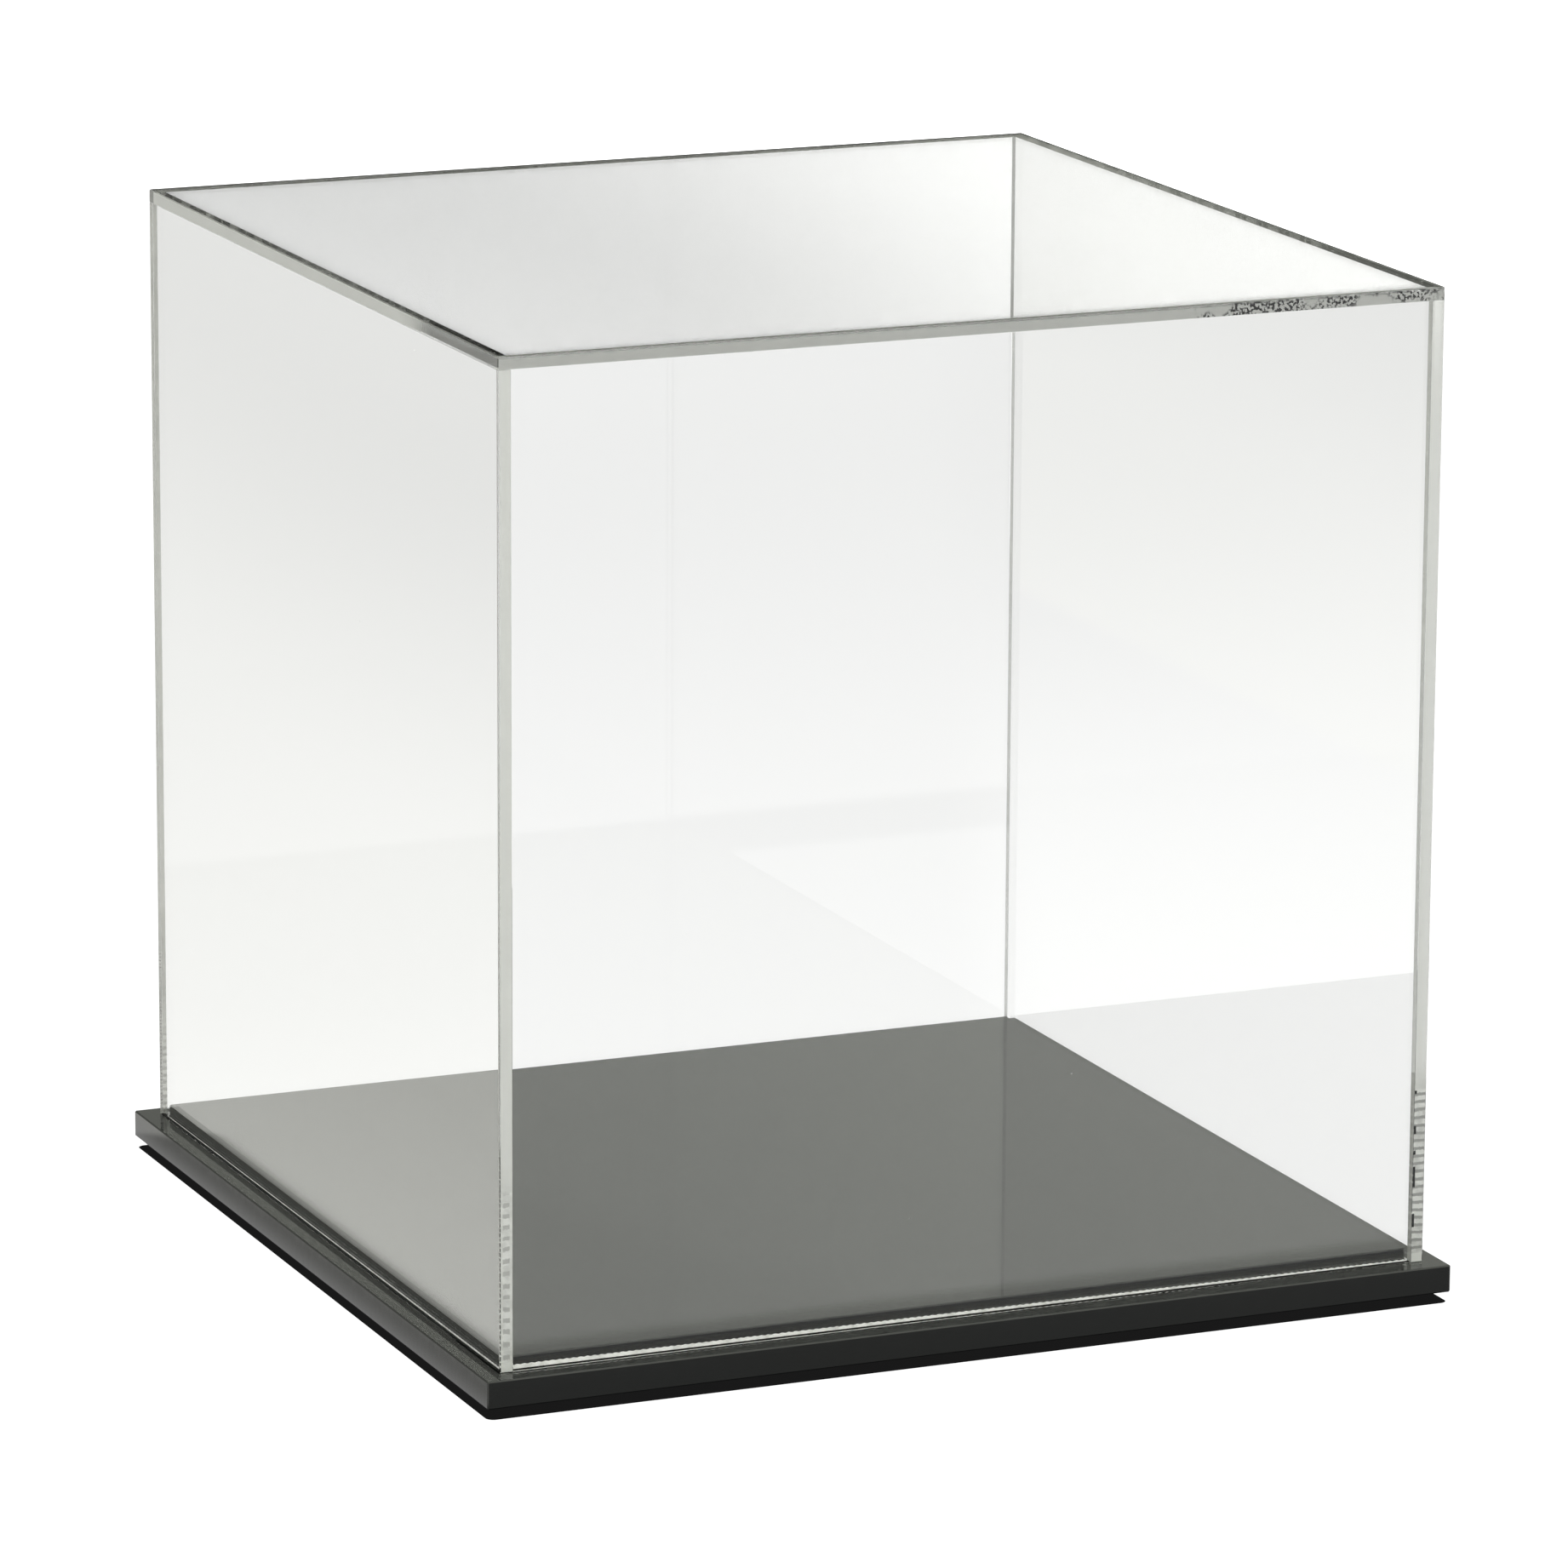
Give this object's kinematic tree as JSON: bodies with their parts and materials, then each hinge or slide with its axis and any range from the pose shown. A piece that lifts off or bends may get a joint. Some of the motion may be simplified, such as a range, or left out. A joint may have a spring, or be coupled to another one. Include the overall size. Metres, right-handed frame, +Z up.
{
  "type": "acrylic display cube",
  "caption": "Clear five-sided cube cover that lifts straight up off a gloss black stepped base with a shadow gap, for showing one small exhibit.",
  "frame": {"origin": "on the surface the object stands on, at the middle of its square footprint", "axes": "+Z up, the way the cover lifts; -Y towards the front wall; +X towards the right side wall"},
  "size_m": [0.3128, 0.3128, 0.3119],
  "materials": {
    "clear_acrylic": "polished",
    "black_acrylic": "polished",
    "foot_rubber": "matte"
  },
  "bodies": {
    "base": {"lower_plate": "black_acrylic", "deck_plate": "black_acrylic", "foot_front_left": "foot_rubber", "foot_front_right": "foot_rubber", "foot_back_left": "foot_rubber", "foot_back_right": "foot_rubber"},
    "cover": {"top_panel": "clear_acrylic", "front_panel": "clear_acrylic", "back_panel": "clear_acrylic", "left_panel": "clear_acrylic", "right_panel": "clear_acrylic"}
  },
  "joints": [
    {"name": "cover_lift", "type": "slide", "parent": "base", "child": "cover", "axis": [0, 0, 1], "range_m": [0, 0.32]}
  ]
}
